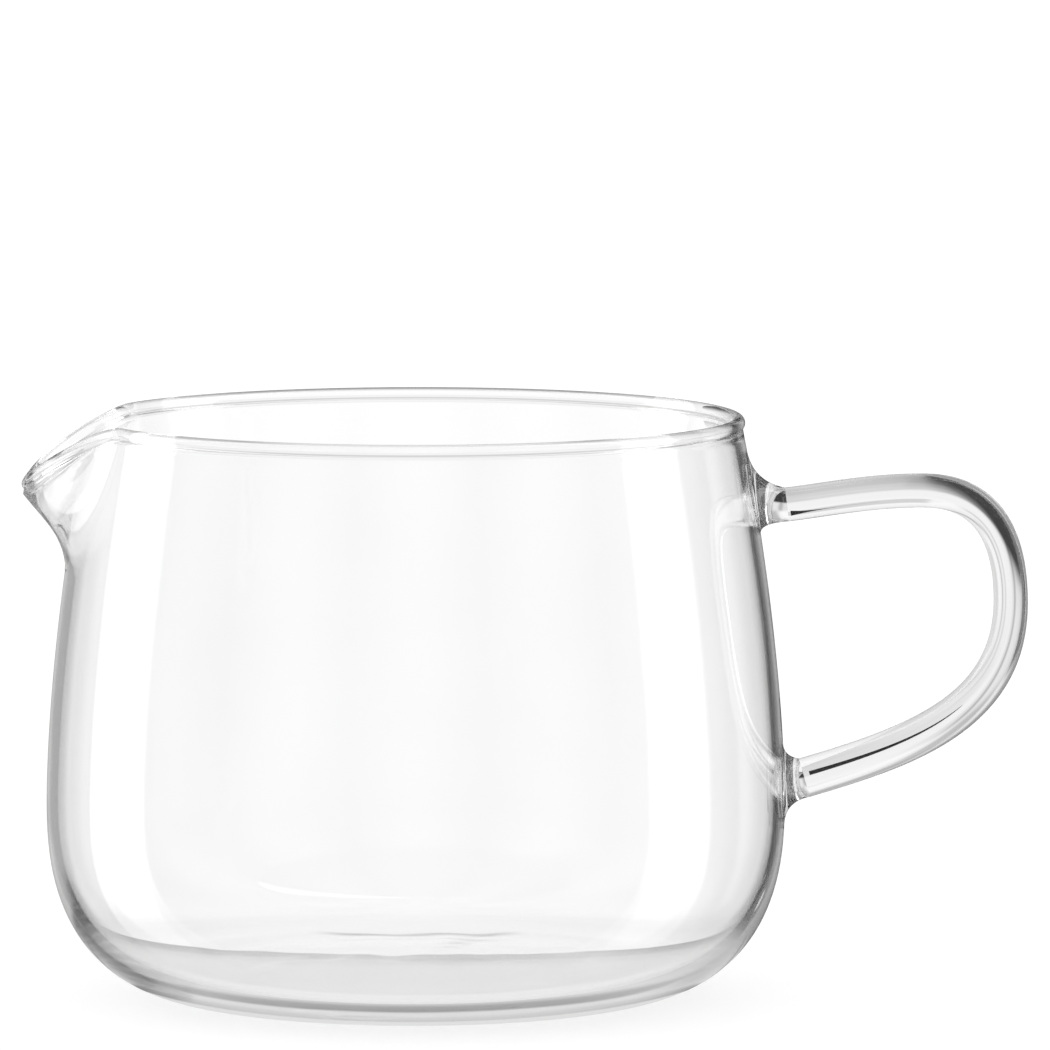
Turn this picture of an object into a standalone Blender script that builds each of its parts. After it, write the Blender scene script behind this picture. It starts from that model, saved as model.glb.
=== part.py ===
"""Clear glass milk jug: blown body with a pulled spout, and a rod handle welded on at two places.

Metres, +Z up. The origin is the middle of the base. The handle is on +X and the spout on -X.
"""
import math

import bmesh
import bpy
from mathutils import Vector

# Body, outside
JUG_HEIGHT = 0.0790
BELLY_RADIUS = 0.0500
BELLY_HEIGHT = 0.0267
BASE_FLAT_RADIUS = 0.0265
HEEL_ROUNDNESS = 2.45
SHOULDER_POWER = 1.67
RIM_RADIUS = 0.0436
BEAD_THICKNESS = 0.0019

# Body, glass thickness
WALL_THICKNESS = 0.0015
FLOOR_THICKNESS = 0.0023

# Spout pulled out of the rim
SPOUT_REACH = 0.0087
SPOUT_DIP = 0.0083
SPOUT_DEPTH = 0.0181
SPOUT_HALF_ANGLE = math.radians(22.0)
SPOUT_TIP_HALF_ANGLE = math.radians(4.5)
SPOUT_ROOT_NARROWNESS = 0.45
SPOUT_EDGE_SOFTNESS = 0.28

# Handle rod
ROD_TOP_THICKNESS = 0.0046
ROD_BOTTOM_THICKNESS = 0.0054
HANDLE_REACH = 0.0328
HANDLE_CREST_RISE = 0.0019
HANDLE_TOP_TILT = math.radians(7.0)
HANDLE_BOTTOM_TILT = math.radians(16.5)

# Curve of the handle, as shares of its own width and height
CREST_PLACE = 0.61
CREST_LEVEL_RUN = 0.24
TOP_STRAIGHT_RUN = 0.20
BEND_ROUNDNESS = 0.66
SIDE_PLACE = 0.357
SIDE_UPRIGHT_RUN = 0.405
BOTTOM_STRAIGHT_RUN = 0.49

# Weld collars between the rod and the wall
UPPER_WELD_BELOW_RIM = 0.0105
UPPER_WELD_HEIGHT = JUG_HEIGHT - UPPER_WELD_BELOW_RIM
UPPER_WELD_LENGTH = 0.0044
UPPER_FOOT_WIDTH = 0.0098
UPPER_FOOT_TALL = 0.0108
UPPER_ROD_DROP = 0.0016
LOWER_WELD_HEIGHT = 0.0289
LOWER_WELD_LENGTH = 0.0027
LOWER_FOOT_WIDTH = 0.0098
LOWER_FOOT_TALL = 0.0106

# Space left between two pieces that are joined
WELD_GAP = 0.0003

# Mesh fineness
BODY_SECTORS = 80
ROD_SIDES = 16


def neck_height():
    """Height at which the wall runs into the rim bead."""
    return JUG_HEIGHT - 1.25 * BEAD_THICKNESS


def wall_radius(height):
    """Outer radius of the side wall above the belly."""
    neck_radius = RIM_RADIUS + 0.5 * WALL_THICKNESS
    share = max(0.0, (height - BELLY_HEIGHT) / (neck_height() - BELLY_HEIGHT))
    return BELLY_RADIUS - (BELLY_RADIUS - neck_radius) * share ** SHOULDER_POWER


def heel_points(inset, lift, steps):
    """Quarter of a rounded oval from the flat of the base up to the belly."""
    points = []
    for step in range(steps + 1):
        turn = 0.5 * math.pi * step / steps
        out = math.sin(turn) ** (2.0 / HEEL_ROUNDNESS)
        up = 1.0 - math.cos(turn) ** (2.0 / HEEL_ROUNDNESS)
        radius = BASE_FLAT_RADIUS + (BELLY_RADIUS - inset - BASE_FLAT_RADIUS) * out
        points.append((radius, lift + (BELLY_HEIGHT - lift) * up))
    return points


def heel_radius(height):
    """Outer radius of the rounded heel below the belly."""
    up = 1.0 - max(0.0, min(1.0, height / BELLY_HEIGHT))
    turn = math.acos(up ** (0.5 * HEEL_ROUNDNESS))
    return BASE_FLAT_RADIUS + (BELLY_RADIUS - BASE_FLAT_RADIUS) * math.sin(turn) ** (2.0 / HEEL_ROUNDNESS)


def outside_radius(height):
    """Outer radius of the body at any height below the bead."""
    if height >= BELLY_HEIGHT:
        return wall_radius(height)
    return heel_radius(height)


def body_profile():
    """Half section of the glass, from the middle of the base outside to the middle of the floor inside."""
    side_steps = 11
    bead_steps = 10
    points = [(0.0, 0.0)]
    points += heel_points(0.0, 0.0, 10)
    for step in range(1, side_steps + 1):
        height = BELLY_HEIGHT + (neck_height() - BELLY_HEIGHT) * step / side_steps
        points.append((wall_radius(height), height))
    bead = 0.5 * BEAD_THICKNESS
    start = -math.radians(40.0)
    for step in range(bead_steps + 1):
        turn = start + (math.pi - 2.0 * start) * step / bead_steps
        points.append((RIM_RADIUS + bead * math.cos(turn), JUG_HEIGHT - bead + bead * math.sin(turn)))
    for step in range(side_steps, 0, -1):
        height = BELLY_HEIGHT + (neck_height() - BELLY_HEIGHT) * step / side_steps
        points.append((wall_radius(height) - WALL_THICKNESS, height))
    points += reversed(heel_points(WALL_THICKNESS, FLOOR_THICKNESS, 8))
    points.append((0.0, FLOOR_THICKNESS))
    return points


def ease(share):
    """Smooth step from 0 to 1."""
    share = min(1.0, max(0.0, share))
    return share * share * (3.0 - 2.0 * share)


def spout_share(turn, rise):
    """How far a point of the wall follows the pulled lip: 1 at the tip, 0 where the wall is round."""
    width = SPOUT_HALF_ANGLE * (SPOUT_ROOT_NARROWNESS + (1.0 - SPOUT_ROOT_NARROWNESS) * rise)
    share = (width - math.hypot(turn, SPOUT_TIP_HALF_ANGLE)) / (width - SPOUT_TIP_HALF_ANGLE)
    soft = 1.0 + (SPOUT_EDGE_SOFTNESS - 1.0) * rise
    if share > soft:
        return share
    return max(0.0, share + soft) ** 2 / (4.0 * soft)


def pull_spout(place):
    """Move one point of the body outwards and down into the spout. The rim bead moves as a whole."""
    rise = min(1.0, (place.z - (neck_height() - SPOUT_DEPTH)) / SPOUT_DEPTH)
    radius = math.hypot(place.x, place.y)
    if rise <= 0.0 or radius < 0.5 * RIM_RADIUS:
        return place
    share = spout_share(math.atan2(place.y, -place.x), rise)
    slope = 0.5 * rise + 0.25 * (1.0 - math.cos(math.pi * rise))
    rounded = 0.5 * share + 0.5 * math.sin(0.5 * math.pi * share)
    reach = SPOUT_REACH * (0.92 * slope + 0.08 * rise ** 6) * rounded
    drop = SPOUT_DIP * rise ** 1.5 * share
    grow = (radius + reach) / radius
    return Vector((place.x * grow, place.y * grow, place.z - drop))


def add_object(name, mesh_builder, colour, roughness):
    """Make one named object with its own glass material."""
    mesh = bpy.data.meshes.new(name)
    bmesh.ops.recalc_face_normals(mesh_builder, faces=mesh_builder.faces[:])
    mesh_builder.to_mesh(mesh)
    mesh_builder.free()
    thing = bpy.data.objects.new(name, mesh)
    bpy.context.scene.collection.objects.link(thing)
    material = bpy.data.materials.new(name + "_glass")
    material.use_nodes = True
    shader = material.node_tree.nodes["Principled BSDF"]
    shader.inputs["Base Color"].default_value = (*colour, 1.0)
    shader.inputs["Roughness"].default_value = roughness
    shader.inputs["Metallic"].default_value = 0.0
    shader.inputs["Transmission Weight"].default_value = 1.0
    shader.inputs["IOR"].default_value = 1.47
    mesh.materials.append(material)
    return thing


def make_body():
    """Turn the glass section round the upright axis, then pull the spout out of the rim."""
    builder = bmesh.new()
    verts = [builder.verts.new((-radius, 0.0, height)) for radius, height in body_profile()]
    edges = [builder.edges.new(pair) for pair in zip(verts, verts[1:])]
    bmesh.ops.spin(builder, geom=verts + edges, cent=(0, 0, 0), axis=(0, 0, 1),
                   angle=2.0 * math.pi, steps=BODY_SECTORS, use_merge=True)
    bmesh.ops.remove_doubles(builder, verts=builder.verts[:], dist=0.00002)
    for vert in builder.verts:
        vert.co = pull_spout(vert.co)
    return add_object("glass_body", builder, (0.93, 0.94, 0.94), 0.02)


def heading(tilt):
    """Direction in the upright plane of the handle, tilted up from +X."""
    return Vector((math.cos(tilt), 0.0, math.sin(tilt)))


def weld_ends():
    """Where each collar meets the rod, and the direction in which the rod leaves it."""
    top_wall = outside_radius(UPPER_WELD_HEIGHT)
    low_wall = outside_radius(LOWER_WELD_HEIGHT)
    top = Vector((top_wall + UPPER_WELD_LENGTH, 0.0, UPPER_WELD_HEIGHT - UPPER_ROD_DROP))
    low_rise = LOWER_WELD_LENGTH * math.tan(HANDLE_BOTTOM_TILT)
    low = Vector((low_wall + LOWER_WELD_LENGTH, 0.0, LOWER_WELD_HEIGHT + low_rise))
    return top, heading(HANDLE_TOP_TILT), low, heading(HANDLE_BOTTOM_TILT)


def bezier(a, b, c, d, share):
    """Point on a cubic curve."""
    rest = 1.0 - share
    return a * rest ** 3 + b * 3 * rest * rest * share + c * 3 * rest * share * share + d * share ** 3


def handle_line():
    """Centre line of the ear: rising top run, round bend, upright grip, long sweep back to the belly."""
    top, top_way, low, low_way = weld_ends()
    start = top + top_way * WELD_GAP
    end = low + low_way * WELD_GAP
    right = BELLY_RADIUS + HANDLE_REACH - 0.5 * ROD_TOP_THICKNESS
    span = right - start.x
    height = start.z - end.z
    crest = Vector((start.x + CREST_PLACE * span, 0.0, start.z + HANDLE_CREST_RISE))
    side = Vector((right, 0.0, start.z - SIDE_PLACE * height))
    level = Vector((1.0, 0.0, 0.0))
    upright = Vector((0.0, 0.0, 1.0))
    runs = (
        (start, start + top_way * TOP_STRAIGHT_RUN * span, crest - level * CREST_LEVEL_RUN * span, crest, 8),
        (crest, crest + level * BEND_ROUNDNESS * (right - crest.x),
         side + upright * BEND_ROUNDNESS * (crest.z - side.z), side, 12),
        (side, side - upright * SIDE_UPRIGHT_RUN * height,
         end + low_way * BOTTOM_STRAIGHT_RUN * span, end, 16),
    )
    line = [start]
    for a, b, c, d, steps in runs:
        line += [bezier(a, b, c, d, step / steps) for step in range(1, steps + 1)]
    return line


def ring_across(centre, way, radius):
    """Corner points of the rod's round section, square to its direction."""
    sideways = Vector((0.0, 1.0, 0.0))
    upwards = way.cross(sideways).normalized()
    points = []
    for step in range(ROD_SIDES):
        turn = 2.0 * math.pi * step / ROD_SIDES
        points.append(centre + (sideways * math.cos(turn) + upwards * math.sin(turn)) * radius)
    return points


def skin_rings(builder, rings):
    """Join a row of rings into a closed tube with flat ends."""
    rows = [[builder.verts.new(point) for point in ring] for ring in rings]
    count = len(rows[0])
    for near, far in zip(rows, rows[1:]):
        for step in range(count):
            after = (step + 1) % count
            builder.faces.new((near[step], near[after], far[after], far[step]))
    builder.faces.new(rows[0])
    builder.faces.new(rows[-1])


def make_handle():
    """Sweep the round section along the ear, a little thicker towards the lower weld."""
    line = handle_line()
    top, top_way, low, low_way = weld_ends()
    lengths = [0.0]
    for a, b in zip(line, line[1:]):
        lengths.append(lengths[-1] + (b - a).length)
    rings = []
    for index, centre in enumerate(line):
        if index == 0:
            way = top_way
        elif index == len(line) - 1:
            way = -low_way
        else:
            way = (line[index + 1] - line[index - 1]).normalized()
        grown = ease((lengths[index] / lengths[-1] - 0.45) / 0.40)
        thickness = ROD_TOP_THICKNESS + (ROD_BOTTOM_THICKNESS - ROD_TOP_THICKNESS) * grown
        rings.append(ring_across(centre, way, 0.5 * thickness))
    builder = bmesh.new()
    skin_rings(builder, rings)
    return add_object("handle", builder, (0.92, 0.93, 0.93), 0.02)


def on_wall(across, height):
    """Point just off the outside of the body on the handle's side."""
    radius = outside_radius(height) + WELD_GAP
    return Vector((math.sqrt(max(0.0, radius * radius - across * across)), across, height))


def make_weld(name, rod_end, way, thickness, foot_height, foot_width, foot_tall):
    """Collar that flares from the rod's section to a wide foot lying on the wall."""
    start = ring_across(rod_end, way, 0.5 * thickness)
    flare_steps = 6
    rings = [[] for _ in range(flare_steps + 1)]
    foot = []
    for step, rod_point in enumerate(start):
        turn = 2.0 * math.pi * step / ROD_SIDES
        across = 0.5 * foot_width * math.cos(turn)
        upright = 0.5 * foot_tall * math.sin(turn)
        edge = on_wall(across, foot_height + upright)
        foot.append((across, upright))
        hollow = on_wall(0.82 * rod_point.y + 0.18 * edge.y, 0.82 * rod_point.z + 0.18 * edge.z)
        hollow.x += 0.10 * (rod_point.x - hollow.x)
        for part in range(flare_steps + 1):
            share = part / flare_steps
            rest = 1.0 - share
            rings[part].append(rod_point * rest * rest + hollow * 2.0 * rest * share + edge * share * share)
    for share in (0.66, 0.33):
        rings.append([on_wall(share * across, foot_height + share * upright) for across, upright in foot])
    builder = bmesh.new()
    skin_rings(builder, rings)
    return add_object(name, builder, (0.91, 0.92, 0.92), 0.03)


for old in list(bpy.data.objects):
    bpy.data.objects.remove(old, do_unlink=True)

make_body()
make_handle()
upper_end, upper_way, lower_end, lower_way = weld_ends()
make_weld("upper_weld", upper_end, upper_way, ROD_TOP_THICKNESS,
          UPPER_WELD_HEIGHT, UPPER_FOOT_WIDTH, UPPER_FOOT_TALL)
make_weld("lower_weld", lower_end, lower_way, ROD_BOTTOM_THICKNESS,
          LOWER_WELD_HEIGHT, LOWER_FOOT_WIDTH, LOWER_FOOT_TALL)
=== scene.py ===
"""Looks of the clear glass milk jug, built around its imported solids. Metres, +Z up.

The handle is on +X and the spout on -X. The pieces come in the order in which the jug is made.
"""
import math

import bmesh
import bpy
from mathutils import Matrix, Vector


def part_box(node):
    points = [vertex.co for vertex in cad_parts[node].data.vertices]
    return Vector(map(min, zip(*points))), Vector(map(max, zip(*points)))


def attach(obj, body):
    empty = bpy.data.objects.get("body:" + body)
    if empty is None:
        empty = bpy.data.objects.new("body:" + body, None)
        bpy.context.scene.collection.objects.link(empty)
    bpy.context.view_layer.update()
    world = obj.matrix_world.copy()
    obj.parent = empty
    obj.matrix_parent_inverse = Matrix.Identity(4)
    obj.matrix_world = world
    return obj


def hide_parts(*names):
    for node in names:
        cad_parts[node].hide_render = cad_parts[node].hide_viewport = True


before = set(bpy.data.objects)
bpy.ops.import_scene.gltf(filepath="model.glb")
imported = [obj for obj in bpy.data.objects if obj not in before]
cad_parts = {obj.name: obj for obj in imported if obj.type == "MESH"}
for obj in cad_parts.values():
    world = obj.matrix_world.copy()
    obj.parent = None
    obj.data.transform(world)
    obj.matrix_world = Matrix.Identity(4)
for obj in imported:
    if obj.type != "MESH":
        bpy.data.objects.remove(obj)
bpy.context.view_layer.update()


# Glass body: one gather of clear glass blown to shape, flat on its base, with the mouth cut and melted
# round to a bead. The wall is about 1.5 mm, and the heel and floor are thicker. The spout was pulled out
# of the hot rim, which thinned the glass there.
BELLY_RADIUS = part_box("glass_body")[1].y
JUG_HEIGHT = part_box("glass_body")[1].z
BELLY_HEIGHT = 0.0267
BASE_FLAT_RADIUS = 0.0265
HEEL_ROUNDNESS = 2.45
SHOULDER_POWER = 1.67
RIM_RADIUS = 0.0436
BEAD_RADIUS = 0.00095
BEAD_START = math.radians(-48.0)
WALL = 0.0015
FLOOR = 0.0023
NECK_HEIGHT = JUG_HEIGHT - 2.5 * BEAD_RADIUS
BASE_STEPS, HEEL_STEPS, SIDE_STEPS, BEAD_STEPS = 12, 32, 40, 24
INNER_HEEL_STEPS, FLOOR_STEPS = 28, 24
ROUND_STEPS = 288
SPOUT_REACH = 0.0087
SPOUT_SWELL, SPOUT_FLICK, SPOUT_FLICK_POWER = 0.92, 0.08, 6
SPOUT_DIP, SPOUT_DIP_POWER = 0.0083, 1.5
SPOUT_DEPTH = 0.0181
SPOUT_HALF_ANGLE = math.radians(22.0)
SPOUT_TIP_HALF_ANGLE = math.radians(4.5)
SPOUT_ROOT_NARROWNESS = 0.45
SPOUT_EDGE_SOFTNESS = 0.28
SPOUT_THINNING = 0.0007
WAVE_TOP = 2.6 * FLOOR
WAVE_EDGE, WAVE_EDGE_FADE = 0.034, 0.010
WAVE_FRONT, WAVE_FRONT_FADE = -0.006, 0.016
SWELL_HEIGHT, SWELL_RUN, SWELL_START = 0.00007, 0.0042, 0.6
SWELL_SNAKING, SNAKING_RUN = 1.5, 0.008
RIPPLE_HEIGHT, RIPPLE_RUN_ACROSS, RIPPLE_RUN_BACK = 0.00001, 0.0016, 0.0031
UNDERSIDE_HEIGHT, UNDERSIDE_EDGE, UNDERSIDE_FADE = 0.000014, 0.0262, 0.004
TOUCHING = 0.00001
GLASS_INDEX = 1.47


def ease(share):
    """Smooth step from 0 to 1."""
    share = min(1.0, max(0.0, share))
    return share * share * (3.0 - 2.0 * share)


def wall_radius(height):
    """Outer radius of the body at a height below the bead."""
    if height < BELLY_HEIGHT:
        up = 1.0 - max(0.0, height / BELLY_HEIGHT)
        out = math.sin(math.acos(up ** (0.5 * HEEL_ROUNDNESS))) ** (2.0 / HEEL_ROUNDNESS)
        return BASE_FLAT_RADIUS + (BELLY_RADIUS - BASE_FLAT_RADIUS) * out
    share = (height - BELLY_HEIGHT) / (NECK_HEIGHT - BELLY_HEIGHT)
    return BELLY_RADIUS - (BELLY_RADIUS - RIM_RADIUS - 0.5 * WALL) * share ** SHOULDER_POWER


def heel(inset, lift, steps):
    """Rounded heel from the flat of the base to the belly."""
    for step in range(1, steps + 1):
        turn = 0.5 * math.pi * step / steps
        out = math.sin(turn) ** (2.0 / HEEL_ROUNDNESS)
        up = 1.0 - math.cos(turn) ** (2.0 / HEEL_ROUNDNESS)
        yield (BASE_FLAT_RADIUS + (BELLY_RADIUS - inset - BASE_FLAT_RADIUS) * out,
               lift + (BELLY_HEIGHT - lift) * up)


def body_section():
    """Half section of the glass, from the middle of the base outside to the middle of the floor inside."""
    rise = NECK_HEIGHT - BELLY_HEIGHT
    sides = [BELLY_HEIGHT + rise * step / SIDE_STEPS for step in range(1, SIDE_STEPS + 1)]
    points = [(BASE_FLAT_RADIUS * step / BASE_STEPS, 0.0) for step in range(BASE_STEPS + 1)]
    points += heel(0.0, 0.0, HEEL_STEPS)
    points += [(wall_radius(height), height) for height in sides]
    for step in range(BEAD_STEPS + 1):
        turn = BEAD_START + (math.pi - 2.0 * BEAD_START) * step / BEAD_STEPS
        points.append((RIM_RADIUS + BEAD_RADIUS * math.cos(turn),
                       JUG_HEIGHT - BEAD_RADIUS + BEAD_RADIUS * math.sin(turn)))
    points += [(wall_radius(height) - WALL, height) for height in reversed(sides)]
    points += reversed(list(heel(WALL, FLOOR, INNER_HEEL_STEPS)))
    points += [(BASE_FLAT_RADIUS * step / FLOOR_STEPS, FLOOR) for step in range(FLOOR_STEPS, -1, -1)]
    return points


def spout_pull(place):
    """Pull a point near the mouth out and down into the spout. The bead moves as a whole."""
    rise = min(1.0, (place.z - (NECK_HEIGHT - SPOUT_DEPTH)) / SPOUT_DEPTH)
    radius = math.hypot(place.x, place.y)
    if rise <= 0.0 or radius < 0.5 * RIM_RADIUS:
        return place
    width = SPOUT_HALF_ANGLE * (SPOUT_ROOT_NARROWNESS + (1.0 - SPOUT_ROOT_NARROWNESS) * rise)
    turn = math.hypot(math.atan2(place.y, -place.x), SPOUT_TIP_HALF_ANGLE)
    share = (width - turn) / (width - SPOUT_TIP_HALF_ANGLE)
    soft = 1.0 + (SPOUT_EDGE_SOFTNESS - 1.0) * rise
    if share < soft:
        share = max(0.0, share + soft) ** 2 / (4.0 * soft)
    rounded = 0.5 * share + 0.5 * math.sin(0.5 * math.pi * share)
    slope = 0.5 * rise + 0.25 * (1.0 - math.cos(math.pi * rise))
    reach = SPOUT_REACH * (SPOUT_SWELL * slope + SPOUT_FLICK * rise ** SPOUT_FLICK_POWER) * rounded
    if radius < wall_radius(place.z) - 0.5 * WALL:
        reach += SPOUT_THINNING * share * math.sin(math.pi * rise)
    grow = (radius + reach) / radius
    return Vector((place.x * grow, place.y * grow, place.z - SPOUT_DIP * rise ** SPOUT_DIP_POWER * share))


def floor_wave(place):
    """Height of the slow waves left in the floor, mostly at the back, where the glass settled unevenly."""
    if place.z > WAVE_TOP:
        return 0.0
    radius = math.hypot(place.x, place.y)
    fade = ease((WAVE_EDGE - radius) / WAVE_EDGE_FADE) * ease((place.y - WAVE_FRONT) / WAVE_FRONT_FADE)
    swell = math.sin(place.x / SWELL_RUN + SWELL_SNAKING * math.sin(place.y / SNAKING_RUN) + SWELL_START)
    ripple = math.sin(place.x / RIPPLE_RUN_ACROSS - place.y / RIPPLE_RUN_BACK)
    if place.z < 0.5 * FLOOR:
        return fade * UNDERSIDE_HEIGHT * (1.0 + swell) * ease((UNDERSIDE_EDGE - radius) / UNDERSIDE_FADE)
    return fade * (SWELL_HEIGHT * swell + RIPPLE_HEIGHT * ripple)


def linear(code):
    """Linear colour of an sRGB hex code."""
    parts = [int(code[i:i + 2], 16) / 255.0 for i in (1, 3, 5)]
    return [p / 12.92 if p <= 0.04045 else ((p + 0.055) / 1.055) ** 2.4 for p in parts] + [1.0]


def add_node(tree, kind, settings=None, values=None):
    """Add a shader node, set its properties, and set or link its inputs."""
    node = tree.nodes.new(kind)
    for name, value in (settings or {}).items():
        setattr(node, name, value)
    for name, value in (values or {}).items():
        if isinstance(value, bpy.types.NodeSocket):
            tree.links.new(value, node.inputs[name])
        else:
            node.inputs[name].default_value = value
    return node


def new_material(name):
    """Material with nothing but its output node, and its node tree."""
    material = bpy.data.materials.new(name)
    material.use_nodes = True
    material.node_tree.nodes.clear()
    material.node_tree.nodes.new("ShaderNodeOutputMaterial")
    return material, material.node_tree


def give_surface(tree, shader):
    """Make a shader the surface of its material."""
    tree.links.new(shader.outputs[0], tree.nodes["Material Output"].inputs["Surface"])


def link_piece(name, builder, materials):
    """Turn a mesh builder into a smooth-shaded object with these materials."""
    mesh = bpy.data.meshes.new(name)
    builder.to_mesh(mesh)
    builder.free()
    for material in materials:
        mesh.materials.append(material)
    mesh.shade_smooth()
    piece = bpy.data.objects.new(name, mesh)
    bpy.context.scene.collection.objects.link(piece)
    return piece


builder = bmesh.new()
row = [builder.verts.new((-radius, 0.0, height)) for radius, height in body_section()]
chain = [builder.edges.new(pair) for pair in zip(row, row[1:])]
bmesh.ops.spin(builder, geom=row + chain, cent=(0, 0, 0), axis=(0, 0, 1), angle=2.0 * math.pi,
               steps=ROUND_STEPS, use_merge=True)
bmesh.ops.remove_doubles(builder, verts=builder.verts[:], dist=TOUCHING)
for vert in builder.verts:
    vert.co = spout_pull(vert.co)
    vert.co.z += floor_wave(vert.co)
bmesh.ops.recalc_face_normals(builder, faces=builder.faces[:])

# Blown borosilicate glass, fire-polished: clear and colourless, with slow waves about 20 mm long that bend
# what is seen through it by a hair, and a breath of dullness that comes and goes over a few millimetres.
body_glass, tree = new_material("body_glass")
place = add_node(tree, "ShaderNodeTexCoord")
waves = add_node(tree, "ShaderNodeTexNoise", None, {
    "Vector": place.outputs["Object"], "Scale": 1.0 / 0.020, "Detail": 1.0})
bent = add_node(tree, "ShaderNodeBump", None, {
    "Height": waves.outputs[0], "Strength": 0.5, "Distance": 0.00006})
breath = add_node(tree, "ShaderNodeTexNoise", None, {
    "Vector": place.outputs["Object"], "Scale": 1.0 / 0.006, "Detail": 3.0})
polish = add_node(tree, "ShaderNodeMapRange", None, {
    "Value": breath.outputs[0], "From Min": 0.35, "From Max": 0.85, "To Max": 0.008})
tint = add_node(tree, "ShaderNodeMix", {"data_type": "RGBA"}, {
    "Factor": waves.outputs[0], "A": linear("#FEFEFE"), "B": linear("#FAFAFA")})
glass = add_node(tree, "ShaderNodeBsdfPrincipled", None, {
    "Base Color": tint.outputs["Result"], "Roughness": polish.outputs["Result"],
    "Normal": bent.outputs["Normal"], "IOR": GLASS_INDEX, "Transmission Weight": 1.0})
give_surface(tree, glass)

# Fused glass: where two pieces were melted into one there is no face left to see.
fused_glass, tree = new_material("fused_glass")
give_surface(tree, add_node(tree, "ShaderNodeBsdfTransparent"))

body = link_piece("jug_body", builder, [body_glass, fused_glass])
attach(body, "root")
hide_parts("glass_body")


# Welds: collars of melted glass, worked in the flame where the rod meets the wall. Each flares from the
# rod into a wide foot that is one with the wall, so no face shows between them.
ROD_TOP, ROD_LOW = 0.0046, 0.0054
TOP_TILT, LOW_TILT = math.radians(7.0), math.radians(16.5)
TOP_BELOW_RIM = 0.0105
TOP_HEIGHT, LOW_HEIGHT = JUG_HEIGHT - TOP_BELOW_RIM, 0.0289
TOP_LENGTH, LOW_LENGTH = 0.0044, 0.0027
TOP_DROP = 0.0016
TOP_FOOT, LOW_FOOT = (0.0098, 0.0108), (0.0098, 0.0106)
FOOT_SUNK = 0.00025
FOOT_EDGE_OFF_WALL = 0.00001
FOOT_SHARES = (1.0, 0.8, 0.6, 0.4, 0.2)
FLARE_FROM_ROD, FLARE_FROM_FOOT, FLARE_FILL = 0.82, 0.18, 0.06
FLARE_ROWS, FLARE_SIDES = 24, 64
TUBE_SEAM = 0.000001
TOP_WAY = Vector((math.cos(TOP_TILT), 0.0, math.sin(TOP_TILT)))
LOW_WAY = Vector((math.cos(LOW_TILT), 0.0, math.sin(LOW_TILT)))
SIDEWAYS = Vector((0.0, 1.0, 0.0))
top_end = Vector((wall_radius(TOP_HEIGHT) + TOP_LENGTH, 0.0, TOP_HEIGHT - TOP_DROP))
low_end = Vector((wall_radius(LOW_HEIGHT) + LOW_LENGTH, 0.0, LOW_HEIGHT + LOW_LENGTH * math.tan(LOW_TILT)))


def on_wall(across, height, off):
    """Point this far off the outside of the body, on the handle's side."""
    radius = wall_radius(height) + off
    return Vector((math.sqrt(radius * radius - across * across), across, height))


def roll_tube(builder, sides, rows, point, glass_rows):
    """Roll a grid into a closed tube, its corners at point(turn, row). Rows past glass_rows are fused."""
    grid = bmesh.ops.create_grid(builder, x_segments=sides, y_segments=rows, size=0.5)
    corners = grid["verts"]
    along = builder.loops.layers.uv.verify()
    for face in {face for corner in corners for face in corner.link_faces}:
        face.material_index = 1 if (face.calc_center_median().y + 0.5) * rows > glass_rows else 0
        for loop in face.loops:
            loop[along].uv = (loop.vert.co.x + 0.5, loop.vert.co.y + 0.5)
    for corner in corners:
        corner.co = point(2.0 * math.pi * (corner.co.x + 0.5), round((corner.co.y + 0.5) * rows))
    bmesh.ops.remove_doubles(builder, verts=corners, dist=TUBE_SEAM)
    ends = bmesh.ops.holes_fill(builder, edges=[edge for edge in builder.edges if edge.is_boundary])
    bmesh.ops.recalc_face_normals(builder, faces=builder.faces[:])
    return ends["faces"]


def make_weld(name, node, rod_end, way, thickness, foot_height, foot):
    """Flare from the rod's section to the foot, sunk a little into the wall, and cut its seat there."""
    upwards = way.cross(SIDEWAYS)

    def point(turn, row):
        across, upright = 0.5 * foot[0] * math.cos(turn), 0.5 * foot[1] * math.sin(turn)
        if row > FLARE_ROWS:
            share = FOOT_SHARES[row - FLARE_ROWS - 1]
            return on_wall(share * across, foot_height + share * upright, -FOOT_SUNK)
        start = rod_end + (SIDEWAYS * math.cos(turn) + upwards * math.sin(turn)) * 0.5 * thickness
        edge = on_wall(across, foot_height + upright, FOOT_EDGE_OFF_WALL)
        hollow = on_wall(FLARE_FROM_ROD * start.y + FLARE_FROM_FOOT * edge.y,
                         FLARE_FROM_ROD * start.z + FLARE_FROM_FOOT * edge.z, 0.0)
        hollow.x += FLARE_FILL * (start.x - hollow.x)
        share = row / FLARE_ROWS
        rest = 1.0 - share
        return start * rest * rest + hollow * 2.0 * rest * share + edge * share * share

    builder = bmesh.new()
    ends = roll_tube(builder, FLARE_SIDES, FLARE_ROWS + len(FOOT_SHARES), point, FLARE_ROWS)
    for face in ends:
        face.material_index = 1
    for edge in builder.edges:
        edge.smooth = len({face.material_index for face in edge.link_faces}) == 1
    weld = link_piece(name, builder, [weld_glass, fused_glass])
    seat = body.modifiers.new("seat", "BOOLEAN")
    seat.operation = "DIFFERENCE"
    seat.solver = "EXACT"
    seat.material_mode = "INDEX"
    seat.object = weld
    whole = body.evaluated_get(bpy.context.evaluated_depsgraph_get())
    cut = bpy.data.meshes.new_from_object(whole)
    body.modifiers.clear()
    body.data = cut
    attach(weld, "root")
    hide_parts(node)


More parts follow.
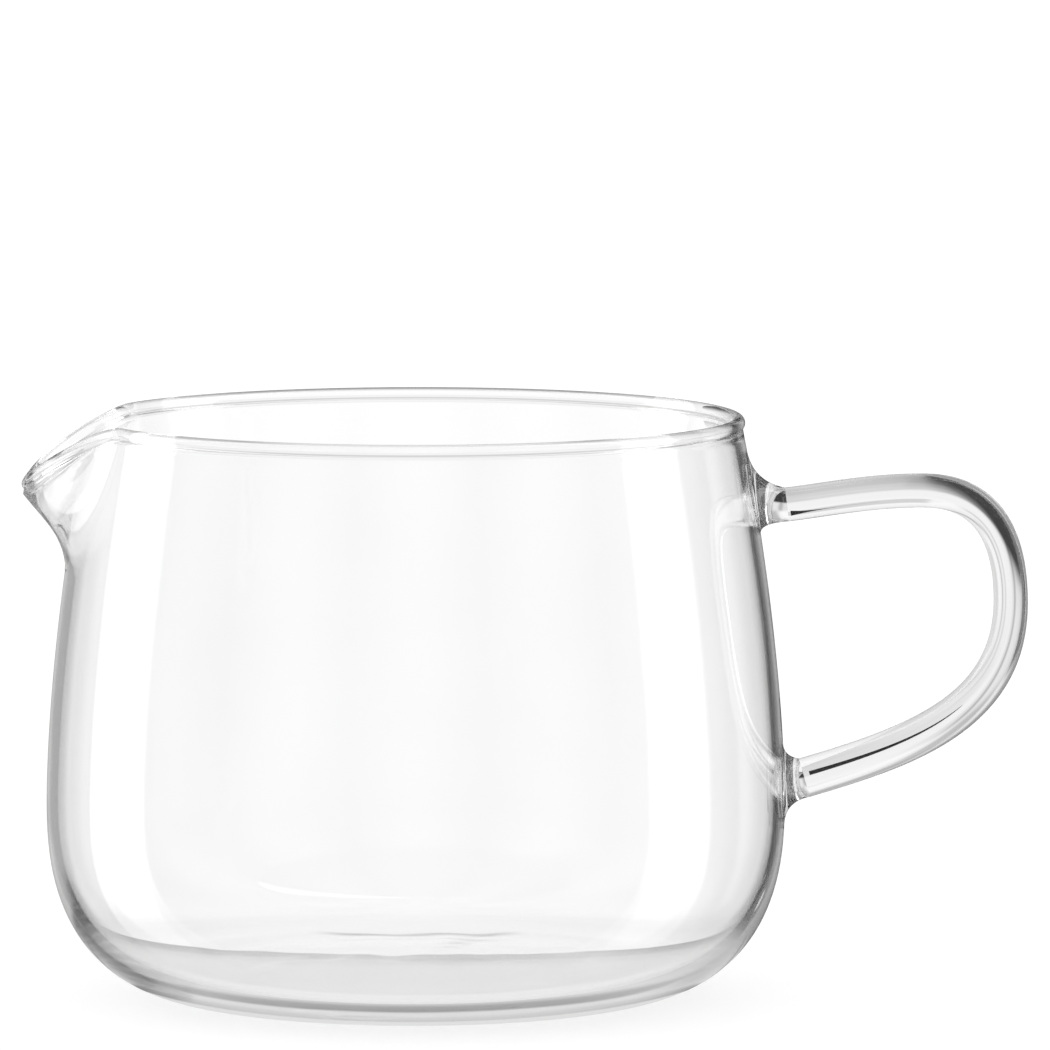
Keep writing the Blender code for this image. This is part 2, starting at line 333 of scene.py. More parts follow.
# Flame-worked glass: as clear as the rod, but puckered in folds about 2 mm apart by the torch.
weld_glass, tree = new_material("weld_glass")
place = add_node(tree, "ShaderNodeTexCoord")
folds = add_node(tree, "ShaderNodeTexNoise", None, {
    "Vector": place.outputs["Object"], "Scale": 1.0 / 0.0020, "Detail": 2.0})
bent = add_node(tree, "ShaderNodeBump", None, {
    "Height": folds.outputs[0], "Strength": 0.5, "Distance": 0.00008})
polish = add_node(tree, "ShaderNodeMapRange", None, {
    "Value": folds.outputs[0], "From Min": 0.40, "From Max": 0.80, "To Max": 0.010})
tint = add_node(tree, "ShaderNodeMix", {"data_type": "RGBA"}, {
    "Factor": folds.outputs[0], "A": linear("#FEFEFE"), "B": linear("#F8F8F8")})
glass = add_node(tree, "ShaderNodeBsdfPrincipled", None, {
    "Base Color": tint.outputs["Result"], "Roughness": polish.outputs["Result"],
    "Normal": bent.outputs["Normal"], "IOR": GLASS_INDEX, "Transmission Weight": 1.0})
give_surface(tree, glass)

make_weld("upper_weld_collar", "upper_weld", top_end, TOP_WAY, ROD_TOP, TOP_HEIGHT, TOP_FOOT)
make_weld("lower_weld_collar", "lower_weld", low_end, LOW_WAY, ROD_LOW, LOW_HEIGHT, LOW_FOOT)


# Handle: one solid glass rod bent into an ear in the flame, a little thicker at its lower end. In the bends
# the glass crowded to the inside. A dark hair of scale from the flame runs into the rod from each weld.
HANDLE_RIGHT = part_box("handle")[1].x - 0.5 * ROD_TOP
CREST_RISE = 0.0019
CREST_PLACE, CREST_LEVEL_RUN, TOP_STRAIGHT_RUN = 0.61, 0.24, 0.20
BEND_ROUNDNESS = 0.66
SIDE_PLACE, SIDE_UPRIGHT_RUN, BOTTOM_STRAIGHT_RUN = 0.357, 0.405, 0.49
TOP_RUN_STEPS, BEND_RUN_STEPS, LOW_RUN_STEPS = 50, 70, 110
ROD_SIDES = 64
THICKENING_START, THICKENING_RUN = 0.45, 0.40
CROWDING, CROWDING_FADE = 0.8, 0.05
BEND_REACH = 6
TOP_HAIR, LOW_HAIR, HAIR_TIP = 0.00024, 0.00019, 0.000004
TOP_HAIR_INSET, LOW_HAIR_INSET = 0.38, 0.10
TOP_HAIR_FADING, LOW_HAIR_FADING = 5.0, 0.7
TOP_HAIR_ROWS, LOW_HAIR_ROWS = (1, 36), (3, 66)
HAIR_SIDES = 12


def cubic(a, b, c, d, share):
    """Point on a cubic curve."""
    rest = 1.0 - share
    return a * rest ** 3 + b * 3 * rest * rest * share + c * 3 * rest * share * share + d * share ** 3


span, tall = HANDLE_RIGHT - top_end.x, top_end.z - low_end.z
level, upright = Vector((1.0, 0.0, 0.0)), Vector((0.0, 0.0, 1.0))
crest = Vector((top_end.x + CREST_PLACE * span, 0.0, top_end.z + CREST_RISE))
side = Vector((HANDLE_RIGHT, 0.0, top_end.z - SIDE_PLACE * tall))
runs = (
    (top_end, top_end + TOP_WAY * TOP_STRAIGHT_RUN * span,
     crest - level * CREST_LEVEL_RUN * span, crest, TOP_RUN_STEPS),
    (crest, crest + level * BEND_ROUNDNESS * (HANDLE_RIGHT - crest.x),
     side + upright * BEND_ROUNDNESS * (crest.z - side.z), side, BEND_RUN_STEPS),
    (side, side - upright * SIDE_UPRIGHT_RUN * tall,
     low_end + LOW_WAY * BOTTOM_STRAIGHT_RUN * span, low_end, LOW_RUN_STEPS),
)
line = [top_end]
for a, b, c, d, steps in runs:
    line += [cubic(a, b, c, d, step / steps) for step in range(1, steps + 1)]
ways = [TOP_WAY] + [(after - before).normalized() for before, after in zip(line, line[2:])] + [-LOW_WAY]
outwards = [way.cross(SIDEWAYS).normalized() for way in ways]
lengths = [0.0]
for before, after in zip(line, line[1:]):
    lengths.append(lengths[-1] + (after - before).length)
shares = [length / lengths[-1] for length in lengths]
thickening = [ease((share - THICKENING_START) / THICKENING_RUN) for share in shares]
radii = [0.5 * (ROD_TOP + (ROD_LOW - ROD_TOP) * share) for share in thickening]


def bend(row):
    """How sharply the rod turns here, as its radius over the radius of the turn."""
    first, last = max(0, row - BEND_REACH), min(len(line) - 1, row + BEND_REACH)
    return radii[row] * ways[first].angle(ways[last]) / (lengths[last] - lengths[first])


bends = [bend(row) for row in range(len(line))]


def rod_point(turn, row):
    """Point on the skin of the rod, which is wider on the inside of a bend."""
    share = shares[row]
    wide = 1.0 - (CROWDING * bends[row] * math.sin(turn) * ease(share / CROWDING_FADE)
                  * ease((1.0 - share) / CROWDING_FADE))
    return line[row] + (SIDEWAYS * math.cos(turn) * wide + outwards[row] * math.sin(turn)) * radii[row]


def add_hair(builder, rows, inset, radius, fading):
    """Closed dark hair inside the rod along these rows, which thins out towards the last one."""
    def point(turn, row):
        spot = rows[row]
        thin = radius * (1.0 - row / (len(rows) - 1)) ** fading + HAIR_TIP
        middle = line[spot] - outwards[spot] * inset * radii[spot]
        return middle + (SIDEWAYS * math.cos(turn) + outwards[spot] * math.sin(turn)) * thin

    before = set(builder.faces)
    roll_tube(builder, HAIR_SIDES, len(rows) - 1, point, len(rows))
    for face in set(builder.faces) - before:
        face.material_index = 2


builder = bmesh.new()
for face in roll_tube(builder, ROD_SIDES, len(line) - 1, rod_point, len(line)):
    face.material_index = 1
from_top = range(*TOP_HAIR_ROWS)
from_low_end = range(len(line) - LOW_HAIR_ROWS[0], len(line) - LOW_HAIR_ROWS[1], -1)
add_hair(builder, from_top, TOP_HAIR_INSET, TOP_HAIR, TOP_HAIR_FADING)
add_hair(builder, from_low_end, LOW_HAIR_INSET, LOW_HAIR, LOW_HAIR_FADING)
for edge in builder.edges:
    edge.smooth = len({face.material_index for face in edge.link_faces}) == 1

# Drawn glass rod: clear, with very fine draw lines along its length, about half a millimetre apart.
rod_glass, tree = new_material("rod_glass")
place = add_node(tree, "ShaderNodeTexCoord")
drawn = add_node(tree, "ShaderNodeMapping", None, {
    "Vector": place.outputs["UV"], "Scale": (30.0, 2.0, 1.0)})
lines = add_node(tree, "ShaderNodeTexNoise", {"noise_dimensions": "2D"}, {
    "Vector": drawn.outputs["Vector"], "Scale": 1.0, "Detail": 1.0})
bent = add_node(tree, "ShaderNodeBump", None, {
    "Height": lines.outputs[0], "Strength": 0.5, "Distance": 0.000012})
polish = add_node(tree, "ShaderNodeMapRange", None, {
    "Value": lines.outputs[0], "From Min": 0.40, "From Max": 0.80, "To Max": 0.006})
tint = add_node(tree, "ShaderNodeMix", {"data_type": "RGBA"}, {
    "Factor": lines.outputs[0], "A": linear("#FEFEFE"), "B": linear("#FAFAFA")})
glass = add_node(tree, "ShaderNodeBsdfPrincipled", None, {
    "Base Color": tint.outputs["Result"], "Roughness": polish.outputs["Result"],
    "Normal": bent.outputs["Normal"], "IOR": GLASS_INDEX, "Transmission Weight": 1.0})
give_surface(tree, glass)

# Scale: grey-black specks that the flame baked on, drawn out with the rod into a hair, darker in places.
flame_scale, tree = new_material("flame_scale")
place = add_node(tree, "ShaderNodeTexCoord")
specks = add_node(tree, "ShaderNodeTexNoise", None, {
    "Vector": place.outputs["Object"], "Scale": 1.0 / 0.0008, "Detail": 2.0})
soot = add_node(tree, "ShaderNodeMix", {"data_type": "RGBA"}, {
    "Factor": specks.outputs[0], "A": linear("#101010"), "B": linear("#3A3A3A")})
dull = add_node(tree, "ShaderNodeMapRange", None, {
    "Value": specks.outputs[0], "To Min": 0.5, "To Max": 0.8})
give_surface(tree, add_node(tree, "ShaderNodeBsdfPrincipled", None, {
    "Base Color": soot.outputs["Result"], "Roughness": dull.outputs["Result"]}))

handle = link_piece("rod_handle", builder, [rod_glass, fused_glass, flame_scale])
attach(handle, "root")
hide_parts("handle")


# Table: a matte white top, lit evenly, that keeps the jug's faint shadow and is plain where it is seen
# directly. Light that comes to it through the glass finds the tones below instead. They are painted shade
# and painted shadow on the table, and stand for what uneven, thick glass bends into view.
TABLE_REACH = 20.0
TABLE_GAP = 0.0001
TABLE_GLOW = 0.80
# Centre and waves of the painted shadow line under the base, and the tone of the painted grey streak.
SHADE_LINE_CENTRE = (0.003, 0.1395, 0.0)
SHADE_LINE_WAVE_LENGTH, SHADE_LINE_WAVE_SPREAD = 0.011, 0.010
PAINTED_STREAK_TONE, PLAIN_TONE, WHITE_TONE = 0.45, 0.90, 1.0
# Squeeze of the painted shadow ring under the heel.
SHADOW_RING_SQUEEZE = (0.93, 1.0, 1.0)
RIM_LEVEL = 0.97 * JUG_HEIGHT
HANDLE_MIDDLE, HANDLE_MARGIN = (0.070, 0.0, 0.052), 0.015
OVER_TWO_FACES, OVER_NO_TURN = 2.5, 0.5


def profile(tree, value, *stops):
    """Level along a value, smooth between (value, level) stops."""
    first, last = stops[0][0], stops[-1][0]
    share = add_node(tree, "ShaderNodeMapRange", None, {"Value": value, "From Min": first, "From Max": last})
    ramp = add_node(tree, "ShaderNodeValToRGB", None, {"Fac": share.outputs["Result"]})
    ramp.color_ramp.interpolation = "EASE"
    for number, (spot, level) in enumerate(stops):
        spot = (spot - first) / (last - first)
        stop = ramp.color_ramp.elements.new(spot) if 0 < number < len(stops) - 1 else None
        stop = stop or ramp.color_ramp.elements[0 if number == 0 else -1]
        stop.position, stop.color = spot, (level, level, level, 1.0)
    return ramp.outputs["Color"]


builder = bmesh.new()
bmesh.ops.create_grid(builder, x_segments=1, y_segments=1, size=TABLE_REACH)
bmesh.ops.translate(builder, verts=builder.verts[:], vec=(0.0, 0.0, -TABLE_GAP))
table_white_and_painted_shade, tree = new_material("table_white_and_painted_shade")
path = add_node(tree, "ShaderNodeLightPath")
place = add_node(tree, "ShaderNodeTexCoord")
axes = add_node(tree, "ShaderNodeSeparateXYZ", None, {0: place.outputs["Object"]})
away = add_node(tree, "ShaderNodeVectorMath", {"operation": "LENGTH"}, {0: place.outputs["Object"]})
matte = add_node(tree, "ShaderNodeBsdfDiffuse", None, {"Color": linear("#909090")})
glow = add_node(tree, "ShaderNodeEmission", None, {"Strength": TABLE_GLOW})
lit = add_node(tree, "ShaderNodeAddShader", None, {0: matte.outputs[0], 1: glow.outputs[0]})

# Under the base, painted shade: grey in front and white behind, with a dark wavy line between them, the
# painted far edge of the base's shadow, and a short painted grey streak at the back. The line is an arc round
# a point behind the jug.
shade_line_wave = add_node(tree, "ShaderNodeTexNoise", None, {
    "Vector": place.outputs["Object"], "Scale": 1.0 / SHADE_LINE_WAVE_LENGTH, "Detail": 1.0})
shade_line_wave = add_node(tree, "ShaderNodeMath", {"operation": "MULTIPLY_ADD"}, {
    0: shade_line_wave.outputs[0], 1: SHADE_LINE_WAVE_SPREAD, 2: -0.5 * SHADE_LINE_WAVE_SPREAD})
shade_line_wave = add_node(tree, "ShaderNodeMath", {"operation": "MULTIPLY"}, {
    0: profile(tree, axes.outputs["X"], (-0.034, 0.0), (-0.022, 1.0), (0.010, 1.0), (0.018, 0.0)),
    1: shade_line_wave.outputs[0]})
from_centre = add_node(tree, "ShaderNodeVectorMath", {"operation": "DISTANCE"}, {
    0: place.outputs["Object"], 1: SHADE_LINE_CENTRE})
from_centre = add_node(tree, "ShaderNodeMath", {"operation": "ADD"}, {
    0: from_centre.outputs["Value"], 1: shade_line_wave.outputs[0]}).outputs[0]
painted_shade_under = profile(tree, from_centre, (0.080, 1.0), (0.1296, 1.0), (0.1302, 0.22), (0.1332, 0.32),
                (0.1375, 0.62), (0.1430, 0.72), (0.180, 0.74))
painted_streak = add_node(tree, "ShaderNodeMath", {"operation": "MULTIPLY"}, {
    0: profile(tree, from_centre, (0.080, 0.0), (0.1055, 0.0), (0.1085, 1.0), (0.1115, 0.0), (0.180, 0.0)),
    1: profile(tree, axes.outputs["X"], (-0.034, 0.0), (-0.016, 0.0), (-0.009, 1.0), (0.009, 1.0),
               (0.016, 0.0), (0.034, 0.0))})
painted_shade_under = add_node(tree, "ShaderNodeMix", None, {0: painted_streak.outputs[0], 2: painted_shade_under, 3: PAINTED_STREAK_TONE}).outputs[0]

# Seen steeply, the table under the base is plain, without the painted shade. Light that crossed no more than
# two faces came through one thickness of glass, and for it that holds under the flat of the base only.
straight = add_node(tree, "ShaderNodeMath", {"operation": "LESS_THAN"}, {
    0: path.outputs["Transmission Depth"], 1: OVER_TWO_FACES}).outputs[0]
angle = add_node(tree, "ShaderNodeLayerWeight")
steep = profile(tree, angle.outputs["Facing"], (0.0, 1.0), (0.60, 1.0), (0.67, 0.0), (1.0, 0.0))
flat_base = profile(tree, away.outputs["Value"], (0.0, 1.0), (0.028, 1.0), (0.034, 0.0), (0.06, 0.0))
clear_of_heel = add_node(tree, "ShaderNodeMix", None, {0: straight, 2: 1.0, 3: flat_base})
from_above = add_node(tree, "ShaderNodeMath", {"operation": "MULTIPLY"}, {
    0: steep, 1: clear_of_heel.outputs[0]})
painted_shade_under = add_node(tree, "ShaderNodeMix", None, {0: from_above.outputs[0], 2: painted_shade_under, 3: PLAIN_TONE}).outputs[0]

# Seen through one thickness of glass, a painted dark shadow ring marks where the heel lifts off the table.
shadow_ring = add_node(tree, "ShaderNodeVectorMath", {"operation": "MULTIPLY"}, {
    0: place.outputs["Object"], 1: SHADOW_RING_SQUEEZE})
shadow_ring = add_node(tree, "ShaderNodeVectorMath", {"operation": "LENGTH"}, {0: shadow_ring.outputs[0]})
shadow_ring = profile(tree, shadow_ring.outputs["Value"], (0.0, 1.0), (0.0340, 1.0), (0.0348, 0.28), (0.0358, 0.38),
               (0.0375, 1.0), (0.060, 1.0))
shadow_ring = add_node(tree, "ShaderNodeMix", None, {0: straight, 2: 1.0, 3: shadow_ring})
painted_shade_under = add_node(tree, "ShaderNodeMath", {"operation": "MULTIPLY"}, {0: painted_shade_under, 1: shadow_ring.outputs[0]}).outputs[0]
# The painted shade and shadow under the base glow as the table's tone seen through the glass.
painted_shade_glow = add_node(tree, "ShaderNodeEmission", None, {"Strength": painted_shade_under})
near = profile(tree, away.outputs["Value"], (0.0, 1.0), (0.044, 1.0), (0.060, 0.0), (1.0, 0.0))

# Round the base, painted shadow: light from the rim finds the table painted dark close by and white far off,
# and light from the wall below the rim, which has a shorter way to it, finds it white.
painted_shadow_falling = profile(tree, path.outputs["Ray Length"], (0.0, 0.85), (0.065, 0.85), (0.075, 0.25), (0.085, 0.25),
                  (0.11, 0.45), (0.15, 0.85), (0.20, 1.05), (1.0, 1.05))
out = add_node(tree, "ShaderNodeMath", {"operation": "SUBTRACT"}, {0: away.outputs["Value"], 1: RIM_RADIUS})
from_rim = add_node(tree, "ShaderNodeCombineXYZ", None, {0: out.outputs[0], 1: RIM_LEVEL})
from_rim = add_node(tree, "ShaderNodeVectorMath", {"operation": "LENGTH"}, {0: from_rim.outputs[0]})
shorter = add_node(tree, "ShaderNodeMath", {"operation": "SUBTRACT"}, {
    0: from_rim.outputs["Value"], 1: path.outputs["Ray Length"]})
lower = profile(tree, shorter.outputs[0], (-0.1, 0.0), (0.002, 0.0), (0.005, 1.0), (0.1, 1.0))
painted_shadow_falling = add_node(tree, "ShaderNodeMix", None, {0: lower, 2: painted_shadow_falling, 3: WHITE_TONE})
# The painted shadow round the base glows as the table's tone seen through the glass.
painted_shadow_glow = add_node(tree, "ShaderNodeEmission", None, {"Strength": painted_shadow_falling.outputs[0]})

# Light from the handle, and light that was turned back or crossed more faces, passes on to the tent.
gone = add_node(tree, "ShaderNodeBsdfTransparent")
not_turned = add_node(tree, "ShaderNodeMath", {"operation": "LESS_THAN"}, {
    0: path.outputs["Glossy Depth"], 1: OVER_NO_TURN})
from_handle = add_node(tree, "ShaderNodeVectorMath", {"operation": "DISTANCE"}, {
    0: place.outputs["Object"], 1: HANDLE_MIDDLE})
from_handle = add_node(tree, "ShaderNodeMath", {"operation": "SUBTRACT"}, {
    0: from_handle.outputs["Value"], 1: path.outputs["Ray Length"]})
off_handle = add_node(tree, "ShaderNodeMath", {"operation": "GREATER_THAN"}, {
    0: from_handle.outputs[0], 1: HANDLE_MARGIN})
stays = add_node(tree, "ShaderNodeMath", {"operation": "MULTIPLY"}, {0: straight, 1: not_turned.outputs[0]})
stays = add_node(tree, "ShaderNodeMath", {"operation": "MULTIPLY"}, {
    0: stays.outputs[0], 1: off_handle.outputs[0]})
around = add_node(tree, "ShaderNodeMixShader", None, {
    "Fac": stays.outputs[0], 1: gone.outputs[0], 2: painted_shadow_glow.outputs[0]})
through_glass = add_node(tree, "ShaderNodeMixShader", None, {
    "Fac": near, 1: around.outputs[0], 2: painted_shade_glow.outputs[0]})
by_glass = add_node(tree, "ShaderNodeMath", {"operation": "MAXIMUM"}, {
    0: path.outputs["Is Glossy Ray"], 1: path.outputs["Is Transmission Ray"]})
give_surface(tree, add_node(tree, "ShaderNodeMixShader", None, {
    "Fac": by_glass.outputs[0], 1: lit.outputs[0], 2: through_glass.outputs[0]}))
table = link_piece("table", builder, [table_white_and_painted_shade])


# Light: a white tent all round. Seen through the glass it has grey panels between bright ones, which draw
# the edges of the body, and dark cards behind the handle. Mirrored in the glass it has two tall lamps.
HALF_PANEL = 22.5
GLEAM_BEARING, GLEAM_HEIGHT = math.radians(17.5), math.radians(-16.5)
GLEAM_INNER, GLEAM_OUTER = math.radians(0.8), math.radians(2.0)
LEFT_SIDE_TONE, OVERHEAD_TONE, SHELF_TONE, DARK_CARD_TONE = 0.38, 0.06, 0.70, 0.03
FAR_ROUND_TONE, WELD_TONE = 0.8, 0.05
LAMP_STRENGTH = 2.4
OVER_FOUR_TURNS, OVER_NO_WELD = 4.5, 0.5
world = bpy.data.worlds.new("tent")
bpy.context.scene.world = world
world.use_nodes = True
tree = world.node_tree
tree.nodes.clear()

# Bearings and heights in degrees, from straight behind the jug and from level.
coord = add_node(tree, "ShaderNodeTexCoord")
axes = add_node(tree, "ShaderNodeSeparateXYZ", None, {0: coord.outputs["Generated"]})
bearing = add_node(tree, "ShaderNodeMath", {"operation": "ARCTAN2"}, {
    0: axes.outputs["X"], 1: axes.outputs["Y"]})
bearing = add_node(tree, "ShaderNodeMath", {"operation": "DEGREES"}, {0: bearing.outputs[0]}).outputs[0]
height = add_node(tree, "ShaderNodeMath", {"operation": "ARCSINE"}, {0: axes.outputs["Z"]})
height = add_node(tree, "ShaderNodeMath", {"operation": "DEGREES"}, {0: height.outputs[0]}).outputs[0]
either_side = add_node(tree, "ShaderNodeMath", {"operation": "ABSOLUTE"}, {0: bearing}).outputs[0]
between = add_node(tree, "ShaderNodeMath", {"operation": "PINGPONG"}, {0: bearing, 1: HALF_PANEL}).outputs[0]

# Seen through the two walls: white, with a soft grey panel every 45 degrees.
panels = profile(tree, between, (0, 1.07), (5, 1.05), (10, 0.93), (16, 0.76), (22.5, 0.58))
storeys = profile(tree, height, (-90, 0.75), (-46, 0.75), (-32, 1.0), (1, 1.0), (4, 0.92), (12, 0.92),
                  (18, 1.0), (90, 1.0))
through_walls = add_node(tree, "ShaderNodeMath", {"operation": "MULTIPLY"}, {
    0: panels, 1: storeys}).outputs[0]

# Seen by light that was turned back a few times inside a wall, which shows along the edges: a dark ring round
# the level middle of each bright panel, softer right above and below it, with a grey patch on the left and
# one small gleam.
sector = add_node(tree, "ShaderNodeMath", {"operation": "WRAP"}, {0: bearing, 1: HALF_PANEL, 2: -HALF_PANEL})
ahead = add_node(tree, "ShaderNodeCombineXYZ", None, {0: sector.outputs[0], 1: height})
ahead = add_node(tree, "ShaderNodeVectorMath", {"operation": "LENGTH"}, {
    0: ahead.outputs[0]}).outputs["Value"]
dark_ring = profile(tree, ahead, (0, 0.9), (12, 0.60), (18, 0.22), (24, 0.05), (30, 0.06), (37, 0.42),
                    (44, 0.70), (90, 0.85))
soft_ring = profile(tree, ahead, (0, 1.0), (22, 0.95), (31, 0.30), (37, 0.30), (44, 0.70), (90, 0.85))
middle = profile(tree, between, (0, 1.0), (6, 1.0), (13, 0.0), (22.5, 0.0))
below_edges = add_node(tree, "ShaderNodeMix", None, {0: middle, 2: dark_ring, 3: soft_ring}).outputs[0]
left_side = add_node(tree, "ShaderNodeMath", {"operation": "MULTIPLY"}, {
    0: profile(tree, bearing, (-180, 0.0), (-40, 0.0), (-32, 1.0), (-18, 1.0), (-8, 0.0), (180, 0.0)),
    1: profile(tree, height, (-90, 0.0), (-17, 0.0), (-13, 1.0), (90, 1.0))})
below_edges = add_node(tree, "ShaderNodeMix", None, {
    0: left_side.outputs[0], 2: below_edges, 3: LEFT_SIDE_TONE}).outputs[0]
gleam_way = (math.sin(GLEAM_BEARING) * math.cos(GLEAM_HEIGHT),
             math.cos(GLEAM_BEARING) * math.cos(GLEAM_HEIGHT), math.sin(GLEAM_HEIGHT))
off_gleam = add_node(tree, "ShaderNodeVectorMath", {"operation": "DOT_PRODUCT"}, {
    0: coord.outputs["Generated"], 1: gleam_way})
off_gleam = add_node(tree, "ShaderNodeMapRange", {"interpolation_type": "SMOOTHSTEP"}, {
    "Value": off_gleam.outputs["Value"], "From Min": math.cos(GLEAM_OUTER), "From Max": math.cos(GLEAM_INNER),
    "To Min": 1.0, "To Max": 0.0})
below_edges = add_node(tree, "ShaderNodeMix", None, {
    0: off_gleam.outputs["Result"], 2: 1.0, 3: below_edges}).outputs[0]

# Mirrored in the glass, and seen by turned-back light that leaves to the sides or the front: two tall lamps,
# weaker low down, on a dim ground that is darkest on the right and overhead.
lamps = add_node(tree, "ShaderNodeMath", {"operation": "MULTIPLY"}, {
    0: profile(tree, bearing, (-180, 0.0), (-86, 0.0), (-84.5, 1.0), (-59.5, 1.0), (-58, 0.0),
               (74, 0.0), (75.5, 1.0), (99.5, 1.0), (101, 0.0), (180, 0.0)),
    1: profile(tree, height, (-90, 0.35), (-32, 0.35), (-14, 1.0), (90, 1.0))})
dim = profile(tree, bearing, (-180, 0.40), (-4, 0.40), (1, 0.06), (60, 0.06), (72, 0.40), (180, 0.40))
overhead = add_node(tree, "ShaderNodeMath", {"operation": "MULTIPLY"}, {
    0: profile(tree, bearing, (-180, 0.0), (-60, 0.0), (-45, 1.0), (60, 1.0), (72, 0.0), (180, 0.0)),
    1: profile(tree, height, (-90, 0.0), (5, 0.0), (12, 1.0), (90, 1.0))})
dim = add_node(tree, "ShaderNodeMix", None, {0: overhead.outputs[0], 2: dim, 3: OVERHEAD_TONE})
mirrored = add_node(tree, "ShaderNodeMath", {"operation": "MULTIPLY_ADD"}, {
    0: lamps.outputs[0], 1: LAMP_STRENGTH, 2: dim.outputs[0]}).outputs[0]
sides = profile(tree, either_side, (0, 0.0), (54, 0.0), (58, 1.0), (180, 1.0))
through_edges = add_node(tree, "ShaderNodeMix", None, {0: sides, 2: below_edges, 3: mirrored}).outputs[0]

# Seen by light that ran a long way round inside the glass: pale, apart from a strip just above level that is
# dark on the right.
guided = profile(tree, bearing, (-180, 0.9), (-95, 0.55), (-30, 0.45), (-10, 0.75), (10, 0.75), (16, 0.45),
                 (28, 0.04), (95, 0.04), (110, 0.6), (180, 0.9))
strip = profile(tree, height, (-90, 0.0), (0, 0.0), (3, 1.0), (13, 1.0), (17, 0.0), (90, 0.0))
guided = add_node(tree, "ShaderNodeMix", None, {0: strip, 2: FAR_ROUND_TONE, 3: guided}).outputs[0]

# Seen through the solid rod: white with thin grey lines and dark far to the left, greyer below, with a dark
# card low on the left.
lines = profile(tree, bearing, (-180, 0.05), (-33, 0.05), (-29, 0.60), (-22, 0.80), (-13, 0.86), (-11, 0.70),
                (-9, 0.42), (-7, 0.75), (-3, 0.95), (7, 0.96), (9, 0.93), (11, 0.66), (13.5, 0.95),
                (16.5, 0.85), (19, 0.54), (22, 0.95), (28, 0.97), (38, 0.70), (55, 0.85), (180, 0.85))
upper = profile(tree, bearing, (-180, 0.10), (-62, 0.10), (-45, 0.60), (-30, 0.85), (-21, 0.52), (-15, 0.56),
                (-10, 0.95), (-8, 1.03), (8, 1.03), (19, 0.90), (22, 0.42), (26, 0.90), (180, 0.90))
level_with = profile(tree, height, (-90, 0.0), (-24, 0.0), (-12, 1.0), (4, 1.0), (14, 0.0), (90, 0.0))
high = add_node(tree, "ShaderNodeMix", None, {0: level_with, 2: upper, 3: lines}).outputs[0]
shelf = add_node(tree, "ShaderNodeMath", {"operation": "MULTIPLY"}, {
    0: profile(tree, height, (-90, 0.0), (10, 0.0), (14, 1.0), (23, 1.0), (28, 0.0), (90, 0.0)),
    1: profile(tree, bearing, (-180, 0.0), (-6, 0.0), (-3, 1.0), (3, 1.0), (7, 0.0), (180, 0.0))})
high = add_node(tree, "ShaderNodeMix", None, {0: shelf.outputs[0], 2: high, 3: SHELF_TONE}).outputs[0]
low = profile(tree, bearing, (-180, 0.10), (-50, 0.15), (-3, 0.20), (0, 0.30), (3, 0.46), (5, 0.56),
              (8, 0.64), (11, 0.74), (15, 0.82), (30, 0.78), (60, 0.85), (180, 0.85))
below = profile(tree, height, (-90, 1.0), (-40, 1.0), (-30, 0.9), (-20, 0.6), (-12, 0.35), (-5, 0.0),
                (90, 0.0))
through_rod = add_node(tree, "ShaderNodeMix", None, {0: below, 2: high, 3: low}).outputs[0]
dark_card = add_node(tree, "ShaderNodeMath", {"operation": "MULTIPLY"}, {
    0: profile(tree, bearing, (-180, 1.0), (-8, 1.0), (-3, 0.75), (0, 0.40), (3, 0.0), (180, 0.0)),
    1: profile(tree, height, (-90, 1.0), (-11, 1.0), (-7, 0.0), (90, 0.0))})
through_rod = add_node(tree, "ShaderNodeMix", None, {
    0: dark_card.outputs[0], 2: through_rod, 3: DARK_CARD_TONE}).outputs[0]

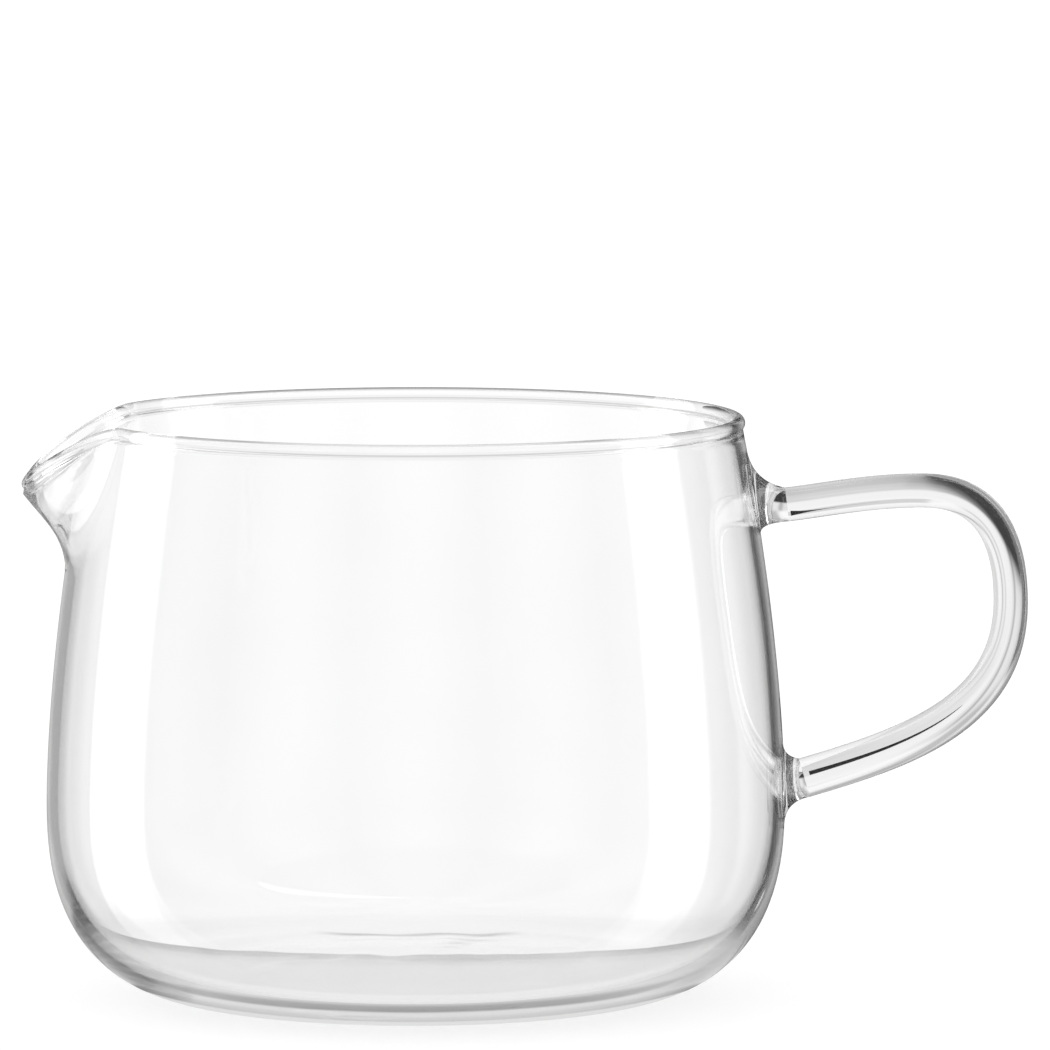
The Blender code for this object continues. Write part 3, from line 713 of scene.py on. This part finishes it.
# Light through the solid rod crosses two faces, and light through the body's walls crosses four. Light that
# ran far and also passed a weld stays dark. Light that leaves downwards passed the table once.
path = add_node(tree, "ShaderNodeLightPath")
two_faces = add_node(tree, "ShaderNodeMath", {"operation": "LESS_THAN"}, {
    0: path.outputs["Transmission Depth"], 1: OVER_TWO_FACES}).outputs[0]
turned_back = add_node(tree, "ShaderNodeMath", {"operation": "GREATER_THAN"}, {
    0: path.outputs["Glossy Depth"], 1: OVER_NO_TURN}).outputs[0]
far_round = add_node(tree, "ShaderNodeMath", {"operation": "GREATER_THAN"}, {
    0: path.outputs["Glossy Depth"], 1: OVER_FOUR_TURNS}).outputs[0]
table_passes = profile(tree, height, (-90, 1.0), (-0.2, 1.0), (0.2, 0.0), (90, 0.0))
weld_passes = add_node(tree, "ShaderNodeMath", {"operation": "SUBTRACT"}, {
    0: path.outputs["Transparent Depth"], 1: table_passes})
welded = add_node(tree, "ShaderNodeMath", {"operation": "GREATER_THAN"}, {
    0: weld_passes.outputs[0], 1: OVER_NO_WELD})
guided = add_node(tree, "ShaderNodeMix", None, {0: welded.outputs[0], 2: guided, 3: WELD_TONE}).outputs[0]
turned = add_node(tree, "ShaderNodeMix", None, {0: far_round, 2: through_edges, 3: guided}).outputs[0]
solid = add_node(tree, "ShaderNodeMix", None, {0: turned_back, 2: through_rod, 3: turned}).outputs[0]
through = add_node(tree, "ShaderNodeMix", None, {0: two_faces, 2: through_walls, 3: solid}).outputs[0]
tone = add_node(tree, "ShaderNodeMix", None, {
    0: path.outputs["Is Glossy Ray"], 2: WHITE_TONE, 3: mirrored}).outputs[0]
tone = add_node(tree, "ShaderNodeMix", None, {
    0: path.outputs["Is Transmission Ray"], 2: tone, 3: through}).outputs[0]
sky = add_node(tree, "ShaderNodeBackground", None, {"Color": (1.0, 1.0, 1.0, 1.0), "Strength": tone})
add_node(tree, "ShaderNodeOutputWorld", None, {"Surface": sky.outputs[0]})


# Camera: far off with a long lens and a little above the rim, at the photograph's viewing angle. Light runs a
# long way inside glass before it comes out, so its paths are kept long.
CAMERA_PLACE, CAMERA_AIM = (0.0148, -1.576, 0.221), (0.0148, 0.0, 0.0641)
LENS_MILLIMETRES, SENSOR_MILLIMETRES = 401.6, 36.0
SIGHT = 100.0
LONGEST_PATH = 400
lens = bpy.data.cameras.new("camera")
lens.lens = LENS_MILLIMETRES
lens.sensor_width = SENSOR_MILLIMETRES
lens.clip_end = SIGHT
camera = bpy.data.objects.new("camera", lens)
camera.location = CAMERA_PLACE
aim = Vector(CAMERA_AIM) - camera.location
camera.rotation_euler = aim.to_track_quat("-Z", "Y").to_euler()
scene = bpy.context.scene
scene.collection.objects.link(camera)
scene.camera = camera
scene.view_settings.view_transform = "Standard"
for kind in ("max_bounces", "glossy_bounces", "transmission_bounces", "transparent_max_bounces"):
    setattr(scene.cycles, kind, LONGEST_PATH)
